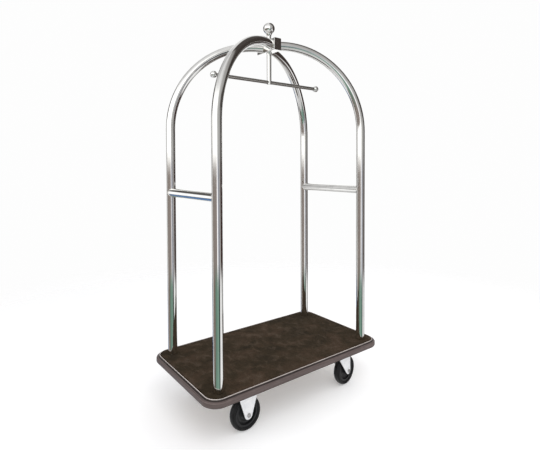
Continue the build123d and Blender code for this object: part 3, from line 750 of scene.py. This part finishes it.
# ---------------------------------------------------------------------------------------------
# Floor, light and surroundings
# ---------------------------------------------------------------------------------------------
def pale_floor():
    """A pale floor that fades out before its own edge."""
    points = [Vector((0, 0, 0))]
    rings = (0.6, 1.2, 2.0, 3.0, 4.5, 7.0)
    sides = 64
    for ring in rings:
        for k in range(sides):
            angle = 2 * math.pi * k / sides
            points.append(Vector((ring * math.cos(angle), ring * math.sin(angle), 0)))
    faces = [(0, 1 + k, 1 + (k + 1) % sides) for k in range(sides)]
    for r in range(len(rings) - 1):
        for k in range(sides):
            m = (k + 1) % sides
            a = 1 + r * sides
            b = a + sides
            faces.append((a + k, b + k, b + m, a + m))
    mesh = bpy.data.meshes.new("floor")
    mesh.from_pydata(points, [], faces)
    obj = bpy.data.objects.new("floor", mesh)
    scene.collection.objects.link(obj)
    made = bpy.data.materials.new("pale_floor")
    made.use_nodes = True
    tree = Tree(made.node_tree)
    shader = tree.add("ShaderNodeBsdfPrincipled")
    shader.inputs["Roughness"].default_value = 0.85
    shader.inputs["Specular IOR Level"].default_value = 0.1
    tone = tree.noise(tree.place(), 1.3, 3.0, 0.5)
    tree.put(
        shader.inputs["Base Color"],
        tree.ramp(tone, (0.3, (0.80, 0.80, 0.81)), (0.7, (0.84, 0.84, 0.84))),
    )
    shader.inputs["Emission Color"].default_value = (1.0, 1.0, 1.0, 1.0)
    shader.inputs["Emission Strength"].default_value = 0.24
    clear = tree.add("ShaderNodeBsdfTransparent")
    where = tree.add("ShaderNodeTexCoord").outputs["Object"]
    length = tree.add("ShaderNodeVectorMath", operation="LENGTH")
    tree.put(length.inputs[0], where)
    fade = tree.span(length.outputs["Value"], 1.5, 3.4)
    both = tree.add("ShaderNodeMixShader")
    tree.put(both.inputs[0], fade)
    tree.put(both.inputs[1], shader.outputs[0])
    tree.put(both.inputs[2], clear.outputs[0])
    output = tree.add("ShaderNodeOutputMaterial")
    tree.put(output.inputs["Surface"], both.outputs[0])
    mesh.materials.append(made)
    obj.visible_glossy = False


pale_floor()


def turn_stops(*stops):
    """Ramp stops from angles to the right of the camera's side, in degrees."""
    return [(0.5 + degrees / 360.0, colour) for degrees, colour in stops]


def rise_stops(*stops):
    """Ramp stops from angles above the horizon, in degrees."""
    return [(0.5 + degrees / 180.0, colour) for degrees, colour in stops]


def studio():
    """Surroundings: an even pale dome for the light, and bright and dark walls for reflections."""
    world = bpy.data.worlds.new("studio")
    scene.world = world
    world.use_nodes = True
    tree = Tree(world.node_tree)
    way = tree.add("ShaderNodeTexCoord").outputs["Generated"]
    back = (-math.sin(HEADING), -math.cos(HEADING), 0.0)
    right = (math.cos(HEADING), -math.sin(HEADING), 0.0)
    turn = tree.math("ARCTAN2", tree.dot(way, right), tree.dot(way, back))
    around = tree.math("MULTIPLY_ADD", turn, 0.5 / math.pi, 0.5)
    rise = tree.math("ARCSINE", tree.dot(way, (0, 0, 1)))
    rise = tree.math("MULTIPLY", rise, 180.0 / math.pi)

    def sector(enter, full, wane, leave):
        """One inside a stretch of the room, with soft ends. The angles are those of turn_stops."""
        return tree.math(
            "MULTIPLY",
            tree.span(around, 0.5 + enter / 360, 0.5 + full / 360),
            tree.span(around, 0.5 + leave / 360, 0.5 + wane / 360),
        )

    white = (1.55, 1.55, 1.53)
    high = tree.ramp(
        around,
        *turn_stops(
            (-180, 1.2),
            (-160, 1.1),
            (-146, (0.09, 0.085, 0.08)),
            (-100, (0.12, 0.115, 0.11)),
            (-84, white),
            (8, white),
            (18, (0.70, 0.70, 0.69)),
            (32, (0.52, 0.52, 0.51)),
            (80, (0.37, 0.365, 0.355)),
            (92, (0.05, 0.042, 0.038)),
            (142, (0.05, 0.04, 0.035)),
            (160, 1.1),
            (180, 1.2),
        ),
    )
    middle = tree.ramp(
        around,
        *turn_stops(
            (-180, 1.2),
            (-160, 1.1),
            (-146, (0.07, 0.06, 0.055)),
            (-104, (0.08, 0.07, 0.065)),
            (-92, (0.27, 0.235, 0.21)),
            (-2, (0.30, 0.255, 0.235)),
            (5, (1.3, 1.3, 1.33)),
            (16, (1.2, 1.2, 1.24)),
            (24, (0.38, 0.39, 0.45)),
            (50, (0.31, 0.32, 0.36)),
            (57, (0.05, 0.04, 0.04)),
            (63, (0.70, 0.69, 0.67)),
            (70, (0.62, 0.60, 0.58)),
            (77, (0.045, 0.022, 0.020)),
            (142, (0.03, 0.018, 0.016)),
            (160, 1.1),
            (180, 1.2),
        ),
    )
    low = tree.ramp(
        around,
        *turn_stops(
            (-180, 1.2),
            (-160, 1.0),
            (-146, (0.05, 0.045, 0.04)),
            (-112, (0.05, 0.045, 0.04)),
            (-98, (0.20, 0.165, 0.14)),
            (-52, (0.22, 0.18, 0.155)),
            (-36, (0.13, 0.22, 0.17)),
            (20, (0.24, 0.38, 0.31)),
            (32, (0.06, 0.13, 0.10)),
            (40, (0.012, 0.012, 0.012)),
            (50, (0.015, 0.014, 0.014)),
            (60, (1.0, 1.0, 1.0)),
            (96, (0.95, 0.95, 0.95)),
            (110, (0.05, 0.04, 0.04)),
            (180, 1.2),
        ),
    )
    floor = tree.ramp(
        around,
        *turn_stops(
            (-180, 1.0),
            (-98, 1.0),
            (-84, (0.08, 0.07, 0.06)),
            (-56, (0.11, 0.11, 0.09)),
            (-38, (0.17, 0.29, 0.23)),
            (24, (0.24, 0.38, 0.31)),
            (36, (0.04, 0.06, 0.05)),
            (46, (0.10, 0.10, 0.10)),
            (56, (1.0, 1.0, 1.0)),
            (110, (1.0, 1.0, 1.0)),
            (126, (0.10, 0.08, 0.07)),
            (150, (0.12, 0.10, 0.09)),
            (170, 0.8),
            (180, 1.0),
        ),
    )
    roof = tree.ramp(
        around,
        *turn_stops(
            (-180, 0.85),
            (-150, 0.80),
            (-110, 0.55),
            (-30, 0.90),
            (20, 0.72),
            (42, (0.44, 0.43, 0.42)),
            (76, (0.35, 0.34, 0.33)),
            (88, (0.07, 0.06, 0.055)),
            (150, (0.08, 0.07, 0.065)),
            (170, 0.80),
            (180, 0.85),
        ),
    )
    under = tree.ramp(
        around,
        *turn_stops(
            (-180, 0.70),
            (-30, 0.75),
            (40, 0.60),
            (62, (0.10, 0.085, 0.08)),
            (150, (0.11, 0.09, 0.085)),
            (172, 0.60),
            (180, 0.70),
        ),
    )
    room = tree.mix(tree.span(rise, -1.5, 2.5), middle, high)
    room = tree.mix(tree.span(rise, -13.0, -16.5), room, low)
    room = tree.mix(tree.span(rise, -23.0, -29.0), room, floor)
    room = tree.mix(tree.span(rise, -31.0, -38.0), room, under)
    room = tree.mix(tree.span(rise, -58.0, -70.0), room, (0.66, 0.66, 0.66))
    # A dark doorway to the right, which the hub's end face looks into.
    doorway = sector(66, 69, 83, 86)
    doorway = tree.math("MULTIPLY", doorway, tree.span(rise, 10.0, 12.5))
    doorway = tree.math("MULTIPLY", doorway, tree.span(rise, 22.0, 19.5))
    room = tree.mix(doorway, room, (0.055, 0.045, 0.04))
    # Two narrow banks of panels, far round to the left, that only level cross tubes pick up.
    tilt = tree.math("MULTIPLY_ADD", rise, 1.0 / 180.0, 0.5)
    bank = tree.ramp(
        tilt,
        *rise_stops(
            (-60, (0.10, 0.19, 0.36)),
            (-22, (0.13, 0.24, 0.46)),
            (-16, (0.10, 0.14, 0.22)),
            (-12, 1.25),
            (9, 1.25),
            (13, (0.10, 0.095, 0.09)),
            (27, (0.16, 0.155, 0.15)),
            (36, 1.2),
            (90, 1.1),
        ),
    )
    strip = sector(-126, -121, -112, -108)
    strip = tree.math("MULTIPLY", strip, tree.span(rise, -20.0, -15.0))
    room = tree.mix(strip, room, bank)
    strip = sector(-152, -148, -123, -119)
    strip = tree.math("MULTIPLY", strip, tree.span(rise, -12.0, -16.0))
    strip = tree.math("MULTIPLY", strip, tree.span(rise, -32.0, -28.0))
    room = tree.mix(strip, room, bank)
    # A paler bank beside them.
    other = tree.ramp(
        tilt,
        *rise_stops(
            (-60, 1.2),
            (-14, 1.2),
            (-8, 0.60),
            (4, 0.48),
            (12, 0.75),
            (40, 1.0),
            (90, 1.0),
        ),
    )
    room = tree.mix(sector(-106, -102, -96, -92), room, other)
    sky = tree.mix(tree.span(rise, 24.0, 50.0), room, roof)
    rays = tree.add("ShaderNodeLightPath")
    colour = tree.mix(rays.outputs["Is Glossy Ray"], (0.86, 0.86, 0.87), sky)
    colour = tree.mix(rays.outputs["Is Camera Ray"], colour, (0.985, 0.985, 0.985))
    background = tree.add("ShaderNodeBackground")
    tree.put(background.inputs["Color"], colour)
    output = tree.add("ShaderNodeOutputWorld")
    tree.put(output.inputs["Surface"], background.outputs[0])


studio()


def soft_light(name, place, aim, size, power):
    """A large square lamp that isn't seen in the polished metal."""
    data = bpy.data.lights.new(name, "AREA")
    data.shape = "SQUARE"
    data.size = size
    data.energy = power
    lamp = bpy.data.objects.new(name, data)
    scene.collection.objects.link(lamp)
    lamp.location = place
    lamp.rotation_mode = "QUATERNION"
    lamp.rotation_quaternion = (Vector(aim) - Vector(place)).to_track_quat("-Z", "Y")
    lamp.visible_glossy = False


soft_light("key", (-1.2, -2.6, 3.4), (0.0, 0.0, 0.6), 2.4, 55.0)
soft_light("fill", (2.6, -1.6, 2.6), (0.2, 0.0, 0.4), 2.4, 22.0)

scene.view_settings.view_transform = "Standard"
scene.view_settings.look = "None"
scene.view_settings.exposure = 0.0
